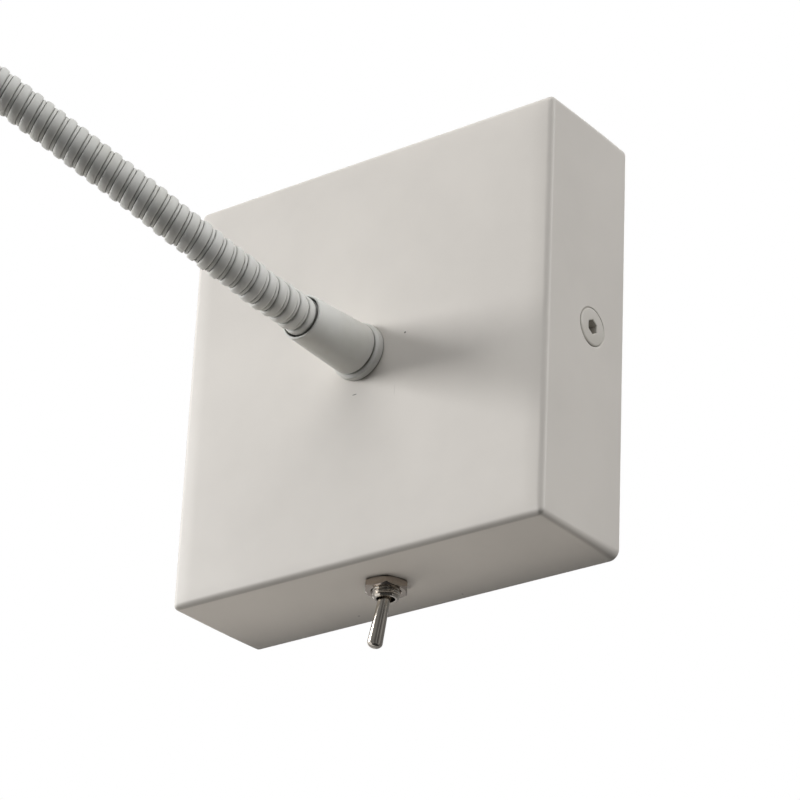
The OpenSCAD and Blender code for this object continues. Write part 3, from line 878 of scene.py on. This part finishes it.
@dataclass
class ArmRoute:
    """Middle line of the arm at rest: hinges with lifts and swings in turn, joined by smooth bends."""

    mouth: float = 49.3
    first_hinge_out: float = 1.0
    pitch: float = 2.95
    base_ribs: int = 2
    tip_ribs: int = 6
    grip: float = 8.0
    base_links: int = 8
    lifts: Sequence[float] = (6, 11, 8.5, 5, 0, 0, -12, -12, -12, -12, -12)
    swings: Sequence[float] = (9, 8.5, 7.5, 3.5, 0, 0, -3.5, -3.5, -3.5, -3.5, -3.5)
    bend_steps: int = 24

    def __post_init__(self) -> None:
        """Works out the links, the smooth line and its frames."""
        self.links = 2 * len(self.lifts)
        self.frames = self._link_frames()
        self._smooth()

    def link_length(self, i: int) -> float:
        """Gives the length of a link, counted from 1."""
        return (self.base_ribs if i <= self.base_links else self.tip_ribs) * self.pitch

    def _link_frames(self) -> list[Matrix]:
        """Works out the frame of the stub and of each link: origin at its hinge, -Y along it.

        Returns:
            The frames.
        """
        made = [Matrix.Translation((0, -self.mouth - self.first_hinge_out, 0))]
        for i in range(1, self.links + 1):
            step = 0.0 if i == 1 else self.link_length(i - 1)
            k = (i - 1) // 2
            angle, axis = (self.lifts[k], "X") if i % 2 else (self.swings[k], "Z")
            turn = Matrix.Rotation(-math.radians(angle), 4, axis)
            made.append(made[-1] @ Matrix.Translation((0, -step, 0)) @ turn)
        return made

    def hinge(self, i: int) -> Vector:
        """Gives the hinge of a link, counted from 1."""
        return self.frames[i].translation

    def middle(self, i: int) -> Vector:
        """Gives the middle of a link.

        Args:
            i: The link, or 0 for the matching point of the stub.

        Returns:
            The point, in millimetres.
        """
        if i == 0:
            return self.hinge(1) + Vector((0, self.link_length(1) / 2, 0))
        return self.frames[i] @ Vector((0, -self.link_length(i) / 2, 0))

    def head_frame(self) -> Matrix:
        """Gives the frame of the lamp head: origin at the mouth of its ferrule, Z to the front."""
        return self.frames[-1] @ Matrix.Translation((0, -self.link_length(self.links), 0)) @ outward()

    def _smooth(self) -> None:
        """Joins the middles of the links with bends and works out lengths and frames along the line."""
        start = Vector((0, -self.mouth + self.grip, 0))
        end = self.frames[-1] @ Vector((0, -self.link_length(self.links) - self.grip, 0))
        points, marks = [start], []
        for i in range(1, self.links + 1):
            a, c, b = self.middle(i - 1), self.hinge(i), self.middle(i)
            for k in range(0 if i == 1 else 1, self.bend_steps + 1):
                t = k / self.bend_steps
                points.append(a * (1 - t) ** 2 + c * (2 * t * (1 - t)) + b * t ** 2)
            marks.append(len(points) - 1)
        points.append(end)
        line = np.array(points)
        reach = np.concatenate([[0], np.cumsum(np.linalg.norm(np.diff(line, axis=0), axis=1))])
        self.points, self.reach = line, reach
        self.cuts = [0.0] + [float(reach[m]) for m in marks] + [float(reach[-1])]
        ahead = np.gradient(line, reach, axis=0)
        self.ahead = ahead / np.linalg.norm(ahead, axis=1)[:, None]
        self.side = np.zeros_like(line)
        self.side[0] = (1, 0, 0)
        for k in range(1, len(line)):
            v = self.side[k - 1] - self.ahead[k] * (self.side[k - 1] @ self.ahead[k])
            self.side[k] = v / np.linalg.norm(v)

    def at(self, s: np.ndarray) -> tuple[np.ndarray, np.ndarray, np.ndarray, np.ndarray]:
        """Gives points and frames along the line.

        Args:
            s: Distances from the inner end of the arm, in millimetres.

        Returns:
            Points, directions along the line, and two directions across it.
        """
        def read(table: np.ndarray) -> np.ndarray:
            """Reads a table of vectors at the distances."""
            return np.stack([np.interp(s, self.reach, table[:, c]) for c in range(3)], axis=-1)

        p, t, u = read(self.points), read(self.ahead), read(self.side)
        t /= np.linalg.norm(t, axis=-1, keepdims=True)
        u -= t * np.sum(u * t, axis=-1, keepdims=True)
        u /= np.linalg.norm(u, axis=-1, keepdims=True)
        return p, t, u, np.cross(t, u)


@dataclass
class StraightLine:
    """Straight middle line for a threaded piece: its start in millimetres, and directions along and across it."""

    origin: Point
    along: Point
    side: Point

    def at(self, s: np.ndarray) -> tuple[np.ndarray, np.ndarray, np.ndarray, np.ndarray]:
        """Gives points at distances in millimetres, directions along the line, and two directions across it."""
        t, u = (np.broadcast_to(way, (len(s), 3)) for way in (self.along, self.side))
        return np.array(self.origin) + s[:, None] * t, t, u, np.cross(t, u)


@dataclass
class RibProfile:
    """Outside of a spiral over one turn: distance from the middle of a rib and radius, in millimetres."""

    turn: Section
    pitch: float

    @classmethod
    def even(cls, crown_r: float, pitch: float, half: Section, middle: float) -> "RibProfile":
        """Makes a profile that drops alike on both sides of a rib, down to the drop halfway between two ribs."""
        rows = [*half, (pitch / 2, middle), *[(pitch - d, drop) for d, drop in reversed(half[1:])]]
        return cls([(d, crown_r - drop) for d, drop in rows], pitch)

    def radius(self, d: np.ndarray) -> np.ndarray:
        """Gives the radius at distances along the spiral."""
        table = np.array([*self.turn, (self.pitch, self.turn[0][1])])
        return np.interp(np.mod(d, self.pitch), table[:, 0], table[:, 1])

    def slope(self, d: np.ndarray, reach: float = 0.035) -> np.ndarray:
        """Gives the slope of the radius at distances along the spiral."""
        return (self.radius(d + reach) - self.radius(d - reach)) / (2 * reach)


@dataclass
class SpiralTube:
    """Tube with a spiral on its outside, along a smooth line."""

    route: ArmRoute | StraightLine
    profile: RibProfile
    bore_r: float
    around: int = 60
    phase: float = 0.0
    bore_step: float = 1.5
    snap: float = 1e-4

    def piece(self, name: str, start: float, end: float) -> bpy.types.Mesh:
        """Makes the stretch between two distances as a closed mesh.

        Args:
            name: Name of the mesh.
            start: Distance of its first end along the line.
            end: Distance of its other end.

        Returns:
            The mesh, in the row frame.
        """
        pitch, m = self.profile.pitch, self.around
        offsets = [d for d, _ in self.profile.turn]
        first = math.floor((start - self.phase) / pitch) - 2
        last = math.ceil((end - self.phase) / pitch) + 1
        base = np.array([self.phase + pitch * turn + d for turn in range(first, last) for d in offsets])
        s = base[:, None] + pitch * np.arange(m) / m
        columns = np.broadcast_to(np.arange(m), s.shape)
        low, high = s <= start + self.snap, s >= end - self.snap
        index = np.full(s.shape, -1)
        index[low] = columns[low]
        index[high] = m + columns[high]
        free = index < 0
        index[free] = 2 * m + np.arange(int(free.sum()))
        where = np.concatenate([np.full(m, start), np.full(m, end), s[free]])
        outer, normals = self._surface(where, np.concatenate([np.arange(m), np.arange(m), columns[free]]))
        bore, inward, ends = self._bore(start, end, len(outer))
        faces = self._strip(index, len(offsets)) + ends
        mesh = faced(name, np.concatenate([outer, bore]).tolist(), faces, crease=None)
        mesh.normals_split_custom_set_from_vertices(np.concatenate([normals, inward]).tolist())
        return mesh

    def _spokes(self, u: np.ndarray, v: np.ndarray, column: np.ndarray) -> np.ndarray:
        """Gives the direction away from the line of each column, from two directions across the line."""
        a = (2 * math.pi * column / self.around)[:, None]
        return u * np.cos(a) + v * np.sin(a)

    def _surface(self, where: np.ndarray, column: np.ndarray) -> tuple[np.ndarray, np.ndarray]:
        """Works out the outside.

        Args:
            where: Distances along the line.
            column: Column round the line.

        Returns:
            Points in metres and normals.
        """
        p, t, u, v = self.route.at(where)
        out = self._spokes(u, v, column)
        d = where - self.phase - self.profile.pitch * column / self.around
        normals = out - t * self.profile.slope(d)[:, None]
        normals /= np.linalg.norm(normals, axis=1, keepdims=True)
        return (p + out * self.profile.radius(d)[:, None]) * MM, normals

    @staticmethod
    def _strip(index: np.ndarray, turn: int) -> list[list[int]]:
        """Joins the rows of the spiral, and its last column to the first one a turn later.

        Args:
            index: Vertex of each row and column.
            turn: Rows in one turn.

        Returns:
            The corners of each face.
        """
        later = np.minimum(np.arange(len(index)) + turn, len(index) - 1)
        wide = np.column_stack([index, index[later, 0]])
        quads = np.stack([wide[:-1, :-1], wide[1:, :-1], wide[1:, 1:], wide[:-1, 1:]], axis=-1)
        return quads.reshape(-1, 4).tolist()

    def _bore(self, start: float, end: float, first: int) -> tuple[np.ndarray, np.ndarray, list[list[int]]]:
        """Works out the bore and the flat ends.

        Args:
            start: Distance of the first end.
            end: Distance of the other end.
            first: Number of the bore's first point.

        Returns:
            Points of the bore in metres, their normals, and the faces of the bore and of both ends.
        """
        m = self.around
        rows = np.linspace(start, end, max(2, int((end - start) / self.bore_step) + 1))
        p, _, u, v = self.route.at(np.repeat(rows, m))
        out = self._spokes(u, v, np.tile(np.arange(m), len(rows)))
        top = first + (len(rows) - 1) * m
        faces = []
        for j in range(m):
            e = (j + 1) % m
            faces += [[at + j, at + e, at + m + e, at + m + j] for at in range(first, top, m)]
            faces += [[j, e, first + e, first + j], [m + j, top + j, top + e, m + e]]
        return (p + out * self.bore_r) * MM, -out, faces


@dataclass
class FlexibleArm(SubAssembly):
    """Spiral-ribbed arm, cut in the middle of each link so that every stretch spans one hinge."""

    route: ArmRoute
    crown_r: float = 4.33
    bore_r: float = 2.0
    phase: float = 0.12
    rib: Section = ((0.0, 0.0), (0.35, 0.01), (0.6, 0.045), (0.78, 0.105), (0.9, 0.19), (0.96, 0.29), (0.99, 0.56),
                    (1.03, 0.66), (1.1, 0.66), (1.13, 0.5), (1.2, 0.43), (1.33, 0.4))
    strip_drop: float = 0.39
    bend_share: float = 0.9
    stub_bend: float = 0.8

    def build(self) -> None:
        """Makes the stretches; the last rides on the last link, the others stay unattached in the row frame."""
        route = self.route
        profile = RibProfile.even(self.crown_r, route.pitch, self.rib, self.strip_drop)
        tube = SpiralTube(route, profile, self.bore_r, phase=self.phase)
        for i in range(route.links + 1):
            mesh = tube.piece(f"arm_spiral_{i:02d}", route.cuts[i], route.cuts[i + 1])
            piece = self.publish(mesh, Finish.ARM, Slot.ARM, f"arm_link_{i:02d}" if i else "arm_stub", None)
            if i == route.links:
                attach(piece, self.body(i))
            else:
                start, end = self.bend(i)
                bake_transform(piece)

    def body(self, i: int) -> str:
        """Gives the body of a link, or of the box for 0."""
        return f"arm_{i:02d}" if i else Body.BASE.value

    def bend(self, i: int) -> tuple[Vector, Vector]:
        """Gives the ends of the bend after a link.

        Args:
            i: The link before the hinge, or 0 for the stub.

        Returns:
            The points where the bend starts and ends, in metres.
        """
        hinge = self.route.hinge(i + 1)
        back, ahead = self.route.middle(i) - hinge, self.route.middle(i + 1) - hinge
        span = min(back.length, ahead.length) * self.bend_share
        behind = span if i else self.stub_bend
        return (hinge + back.normalized() * behind) * MM, (hinge + ahead.normalized() * span) * MM


@dataclass
class ToggleSwitch(SubAssembly):
    """Toggle switch in the bottom of the box: threaded bushing, hexagon nut and bat lever."""

    back: float = 15.3
    bottom: float = 50.0
    bushing_r: float = 3.0
    bushing_out: float = 3.7
    bushing_in: float = 3.1
    flange_r: float = 3.7
    flange_t: float = 1.0
    bore_r: float = 2.05
    segments: int = 72
    thread_pitch: float = 0.75
    thread: Section = ((0.0, 0.0), (0.06, 0.0), (0.16, 0.1), (0.28, 0.27))
    thread_depth: float = 0.3
    thread_bore_step: float = 0.8
    lip_h: float = 0.35
    lip_in: float = 0.42
    lip_drop: float = 0.12
    nut_af: float = 9.0
    nut_t: float = 2.0
    nut_turn: float = 7.5
    nut_cone: float = 30.0
    nut_cone_in: float = 0.2
    nut_play: float = 0.1
    nut_chamfer: float = 0.35
    nut_crease: float = 20.0
    nut_segments: int = 120
    pivot: float = 1.4
    length: float = 13.38
    root_r: float = 1.3
    tip_r: float = 1.7
    tip_h: float = 1.25
    tip_steps: int = 12
    ball_r: float = 1.97
    ball_steps: int = 18
    tail: float = 2.6
    tail_r: float = 0.9
    tail_flat: float = 0.8
    tail_bevel: float = 0.2
    lean: float = 11.5
    dressing: ClassVar[dict[str, Finish]] = {
        "switch_frame": Finish.ZINC, "switch_body": Finish.BLACK, "switch_terminals": Finish.BRASS,
        "switch_lock_washer": Finish.ZINC}

    def axis(self, height: float = 0.0) -> Matrix:
        """Gives a place on the switch axis at a height above the bottom face of the box, Z up."""
        return Matrix.Translation((0, -self.back, height - self.bottom))

    def build(self) -> None:
        """Makes the bushing, the nut and the lever."""
        self.publish(self._bushing(), Finish.NICKEL, Slot.NICKEL, "switch_bushing")
        self.publish(self._nut(), Finish.NUT, Slot.NICKEL, "switch_nut")
        self.publish(self._lever(), Finish.NICKEL, Slot.NICKEL, "switch_lever", Body.LEVER.value)

    def _bushing(self) -> bpy.types.Mesh:
        """Makes the bushing with a thread on its lower end.

        Returns:
            The mesh.
        """
        r, bore, out = self.bushing_r, self.bore_r, self.bushing_out
        line = StraightLine((0, -self.back, -self.bottom - out), (0, 0, 1), (1, 0, 0))
        ridge = RibProfile.even(r, self.thread_pitch, self.thread, self.thread_depth)
        tube = SpiralTube(line, ridge, bore, self.segments, bore_step=self.thread_bore_step)
        screw = tube.piece("thread", self.lip_h, out)
        edge = softened([(bore, 0, 0.1), (r - self.lip_in, 0, 0.06), (r - self.lip_drop, self.lip_h, 0),
                         (bore, self.lip_h, 0)])
        lip = turned("lip", edge, metres(self.axis(-out)), segments=self.segments)
        inner, end = self.bushing_in, self.bushing_in + self.flange_t
        step = [(bore, 0), (r, 0), (r, inner), (self.flange_r, inner), (self.flange_r, end), (bore, end)]
        top = turned("top", step, metres(self.axis()), segments=self.segments)
        return joined("bushing_threaded", [screw, lip, top])

    def _nut(self) -> bpy.types.Mesh:
        """Makes the nut, with its corners cut by a cone at both ends.

        Returns:
            The mesh.
        """
        edge = partial(hexagon, self.nut_af / 2, 0.0)
        face_r, hole = self.nut_af / 2 - self.nut_cone_in, self.bushing_r + self.nut_play
        slope, end, chamfer = math.tan(math.radians(self.nut_cone)), -self.nut_t, self.nut_chamfer

        def cut(angle: float) -> float:
            """Gives how far the cone cuts into the edge at an angle."""
            return max(0.0, edge(angle) - face_r) * slope

        section = [(hole, 0.0), (face_r, 0.0), (edge, lambda a: -cut(a)), (edge, lambda a: end + cut(a)),
                   (face_r, end), (hole + chamfer, end), (hole, end + chamfer)]
        place = metres(self.axis() @ Matrix.Rotation(math.radians(self.nut_turn), 4, "Z"))
        return turned("nut_chamfered", section, place, segments=self.nut_segments, crease=self.nut_crease)

    def _lever(self) -> bpy.types.Mesh:
        """Makes the lever with its ball, tapered bat and rounded tip.

        Returns:
            The mesh.
        """
        tail, neck = (math.asin(r / self.ball_r) for r in (self.tail_r, self.root_r))
        section = [(0.0, self.tail), (self.tail_r * self.tail_flat, self.tail),
                   (self.tail_r, self.tail - self.tail_bevel)]
        section += [(self.ball_r * math.sin(a), self.ball_r * math.cos(a))
                    for a in np.linspace(tail, math.pi - neck, self.ball_steps)]
        section += [(self.tip_r * math.cos(a), self.tip_h * (1 - math.sin(a)) - self.length)
                    for a in np.linspace(0, math.pi / 2, self.tip_steps)]
        tilt = Matrix.Rotation(math.radians(self.lean), 4, "Y")
        return turned("lever_bat", section, metres(self.axis(-self.pivot) @ tilt), closed=False, segments=64)


@dataclass
class LampHead(SubAssembly):
    """Turned lamp head: ferrule, rear cap, tube, front ring and lens."""

    stem: Stem
    place: Matrix
    radius: float = 16.0
    inner_r: float = 14.4
    cap_t: float = 6.0
    cap_round: float = 3.0
    joint_round: float = 0.18
    spigot: float = 3.0
    tube_len: float = 42.0
    ring_t: float = 4.0
    open_r: float = 12.5
    flare: float = 0.8
    recess: float = 1.8
    lens_r: float = 13.4
    lens_t: float = 9.0
    lens_back_r: float = 6.5
    lens_rim_t: float = 1.5
    well_r: float = 4.0
    well_depth: float = 4.0
    hole_r: float = 4.1
    play: float = 0.1
    dressing: ClassVar[dict[str, Finish]] = {
        "head_nipple": Finish.BRASS, "head_nut": Finish.BRASS, "heat_sink": Finish.ALUMINIUM,
        "led_board": Finish.WHITE, "board_screws": Finish.ZINC, "led_emitter": Finish.PHOSPHOR}

    def build(self) -> None:
        """Makes the turned pieces and the lens."""
        cap_at = self.stem.length + self.stem.groove_w
        tube_at = cap_at + self.cap_t
        ring_at = tube_at + self.tube_len
        front = ring_at + self.ring_t
        glass = front - self.recess
        r, inner, soft, spigot_r = self.radius, self.inner_r, self.joint_round, self.inner_r - self.play
        inside, back, seat = tube_at + self.spigot, ring_at - self.spigot, self.lens_r + self.play
        sleeve = [(radius, cap_at - z) for radius, z in self.stem.ferrule_section()]
        cap = softened([(self.hole_r, cap_at, 0.3), (r, cap_at, self.cap_round), (r, tube_at, soft),
                        (spigot_r, tube_at, 0), (spigot_r, inside, 0.2), (self.hole_r, inside, 0)], steps=10)
        tube = softened([(inner, tube_at, 0), (r, tube_at, soft), (r, ring_at, soft), (inner, ring_at, 0)])
        ring = softened([(self.open_r, glass, 0.1), (self.open_r + self.flare, front, 0.3), (r, front, 0.45),
                         (r, ring_at, soft), (spigot_r, ring_at, 0), (spigot_r, back, 0), (seat, back, 0),
                         (seat, glass, 0)])
        place = metres(self.place)
        for name, section, segments, finish, slot, node in (
                ("head_ferrule_turned", sleeve, 128, Finish.ARM, Slot.ARM, "head_ferrule"),
                ("head_cap_turned", cap, 160, Finish.HEAD, Slot.HEAD, "head_cap"),
                ("head_tube_turned", tube, 160, Finish.HEAD, Slot.HEAD, "head_tube"),
                ("front_ring_turned", ring, 160, Finish.HEAD, Slot.HEAD, "front_ring")):
            self.publish(turned(name, section, place, segments=segments), finish, slot, node, Body.HEAD.value)
        lens = turned("lens_moulded", self._optic(glass), place, closed=False, segments=128)
        self.publish(lens, Finish.LENS, Slot.LENS, "lens", Body.HEAD.value)

    def _optic(self, front: float) -> Section:
        """Works out the half section of the lens, with the well for the light chip in its back.

        Args:
            front: Height of its front.

        Returns:
            The section.
        """
        back = front - self.lens_t
        well = back + self.well_depth
        return softened([(0, well, 0), (self.well_r, well, 0.8), (self.well_r, back, 0.1),
                         (self.lens_back_r, back, 0.2), (self.lens_r, front - self.lens_rim_t, 0.15),
                         (self.lens_r, front, 0.1), (0, front, 0)], closed=False)


@dataclass(frozen=True)
class StudioLamp:
    """A soft square lamp: its place, side and aim in metres, and whether bright metal shows it."""

    name: str
    place: Point
    size: float
    watts: float
    tint: Colour = WHITE_LIGHT
    mirrored: bool = True
    aim: Point = (0.0, 0.0, 0.0)

    def hang(self) -> None:
        """Hangs the lamp."""
        data = bpy.data.lights.new(self.name, "AREA")
        data.shape, data.size, data.energy, data.color = "SQUARE", self.size, self.watts, self.tint
        lamp = placed(self.name, data)
        lamp.location = self.place
        lamp.rotation_mode = "QUATERNION"
        lamp.rotation_quaternion = (Vector(self.aim) - Vector(self.place)).to_track_quat("-Z", "Y")
        lamp.visible_camera = False
        lamp.visible_glossy = self.mirrored


@dataclass
class View:
    """Camera at the photograph's place, and the plain studio round the lamp, in metres.

    A screen or a sector of ground is given by its first and last edge in degrees round from the camera and by how
    bright it shows. A screen also has the height of its top.
    """

    eye: Point = (0.4299, -0.5569, -0.3420)
    ahead: Point = (-0.5581, 0.7053, 0.4372)
    up: Point = (0.2341, -0.3712, 0.8986)
    lens_mm: float = 156.4
    sensor_mm: float = 36.0
    clip_near: float = 0.01
    clip_far: float = 50.0
    floor_z: float = -3.0
    floor_half: float = 12.0
    floor_cloud_mm: float = 300
    surround: float = 0.145
    panel_r: float = 1.9
    panel_steps: int = 12
    panel_clouds: float = 0.1
    panel_cloud_mm: float = 400
    screens: Sequence[tuple[float, float, float, float]] = (
        (-67, -16, 0.21, 1.7), (-16, 12, 0.1, 1.7), (12, 26, 0.24, 1.7), (26, 44, 0.07, 1.7), (44, 60, 0.18, 1.7),
        (60, 78, 0.33, 1.7), (78, 130, 0.16, 1.7), (130, 180, 0.22, 1.1), (180, 240, 0.4, -0.25))
    ground_front: Point = (-90, 130, 0.03)
    ground_back: Point = (130, 240, 0.3)
    ground_z: float = -2.2
    ground_middle: float = 0.5
    lamps: Sequence[StudioLamp] = (
        StudioLamp("key_left", (-2.18, -1.3, 0.6), 0.95, 60),
        StudioLamp("side_right", (1.87, 0.33, 1.1), 1.0, 28),
        StudioLamp("front_top", (0.2, -1.35, 1.5), 1.8, 18.5),
        StudioLamp("low_left", (-1.1, 0.05, -0.98), 0.6, 3.5, WARM_LIGHT, False),
        StudioLamp("back_fill", (-0.6, 2.2, 0.9), 1.2, 22),
        StudioLamp("wall_glow", (-0.07, 0.0, -0.205), 0.28, 0.185, WARM_LIGHT, False, (-0.07, -1.0, -0.205)))

    def build(self) -> None:
        """Makes the camera, the floor, the surround, the panels and the lamps."""
        self.camera()
        self.floor()
        self.world()
        for k, screen in enumerate(self.screens):
            self.panel(f"screen_{k}", *screen)
        self.panel("ground_front", *self.ground_front)
        self.panel("ground_back", *self.ground_back)
        for lamp in self.lamps:
            lamp.hang()

    def camera(self) -> None:
        """Places the camera."""
        data = bpy.data.cameras.new("camera")
        data.sensor_width, data.sensor_fit, data.lens = self.sensor_mm, "HORIZONTAL", self.lens_mm
        data.clip_start, data.clip_end = self.clip_near, self.clip_far
        back = -Vector(self.ahead).normalized()
        right = Vector(self.up).cross(back).normalized()
        axes = Matrix((right, back.cross(right), back)).transposed()
        camera = placed("camera", data)
        camera.matrix_world = Matrix.Translation(self.eye) @ axes.to_4x4()
        bpy.context.scene.camera = camera

    def floor(self) -> None:
        """Lays a plain pale floor far below the lamp."""
        mesh = bpy.data.meshes.new("floor")
        corners = ((-1, -1), (1, -1), (1, 1), (-1, 1))
        mesh.from_pydata([(x * self.floor_half, y * self.floor_half, self.floor_z) for x, y in corners], [],
                         [(0, 1, 2, 3)])
        g = Surface("pale_floor")
        tone = g.mix(g.noise(self.floor_cloud_mm), srgb(118, 118, 117), srgb(122, 122, 121))
        mesh.materials.append(g.finish(Base_Color=tone, Roughness=0.8))
        glow = g.node("ShaderNodeEmission", inputs={"Color": WHITE_LIGHT, "Strength": 1.0})
        blend = g.node("ShaderNodeMixShader", inputs={0: self._seen(g), 1: g.shader.outputs[0], 2: glow.outputs[0]})
        g.feed(g.output.inputs["Surface"], blend.outputs[0])
        placed("floor", mesh)

    @staticmethod
    def _seen(g: Graph) -> Signal:
        """Gives 1 for rays from the camera and rays mirrored or let through by the lamp.

        Args:
            g: Graph that asks.

        Returns:
            The signal.
        """
        path = g.node("ShaderNodeLightPath")
        seen = [Signal(g, path.outputs[k]) for k in ("Is Camera Ray", "Is Glossy Ray", "Is Transmission Ray")]
        return g.signal("ShaderNodeClamp", inputs={0: seen[0] + seen[1] + seen[2]})

    def world(self) -> None:
        """Makes the plain surround: white to the camera, softer as light."""
        world = bpy.data.worlds.new("surround")
        bpy.context.scene.world = world
        world.use_nodes = True
        g = Graph(world.node_tree)
        strength = self._seen(g) * (1 - self.surround) + self.surround
        back = g.node("ShaderNodeBackground", inputs={"Color": WHITE_LIGHT, "Strength": strength})
        g.node("ShaderNodeOutputWorld", inputs={"Surface": back.outputs[0]})

    def panel(self, name: str, start: float, end: float, level: float, high: float | None = None) -> None:
        """Stands a bent screen round the lamp or lays a sector of ground below it, for mirrored rays only.

        Args:
            name: Name of the panel.
            start: Its first edge, in degrees round from the camera.
            end: Its last edge, in degrees round from the camera.
            level: How bright it shows.
            high: Height of a screen's top, or none for ground.
        """
        camera, steps, low = math.atan2(self.eye[1], self.eye[0]), self.panel_steps, self.ground_z
        turns = [camera + math.radians(start + (end - start) * k / steps) for k in range(steps + 1)]
        edge = [(self.panel_r * math.cos(a), self.panel_r * math.sin(a)) for a in turns]
        if high is None:
            middle = (-self.ground_middle * math.cos(camera), -self.ground_middle * math.sin(camera), low)
            verts = [*[(x, y, low) for x, y in edge], middle]
            faces = [(k, k + 1, steps + 1) for k in range(steps)]
        else:
            verts = [(x, y, z) for x, y in edge for z in (low, high)]
            faces = [(2 * k, 2 * k + 2, 2 * k + 3, 2 * k + 1) for k in range(steps)]
        mesh = bpy.data.meshes.new(name)
        mesh.from_pydata(verts, [], faces)
        g = Surface(name)
        shades = [toned(WHITE_LIGHT, level * (1 + way * self.panel_clouds)) for way in (-1, 1)]
        tone = g.mix(g.noise(self.panel_cloud_mm), *shades)
        glow = g.finish(Base_Color=(0, 0, 0), Roughness=0.9, Emission_Color=tone, Emission_Strength=1.0)
        mesh.materials.append(glow)
        panel = placed(name, mesh)
        panel.visible_camera = panel.visible_diffuse = panel.visible_transmission = panel.visible_shadow = False


def main() -> None:
    """Builds the lamp piece by piece and reports it."""
    logging.basicConfig(level=logging.INFO, format="%(name)s: %(message)s")
    bpy.context.scene.view_settings.view_transform = "Standard"
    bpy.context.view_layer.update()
    View().build()
    finishes = {finish: finish.value.make() for finish in Finish}
    stem, route = Stem(finishes), ArmRoute()
    for part in (WallBox(finishes), stem, ToggleSwitch(finishes), LampHead(finishes, stem, route.head_frame()),
                 FlexibleArm(finishes, route)):
        part.build()
        part.dress()


if __name__ == "__main__":
    main()
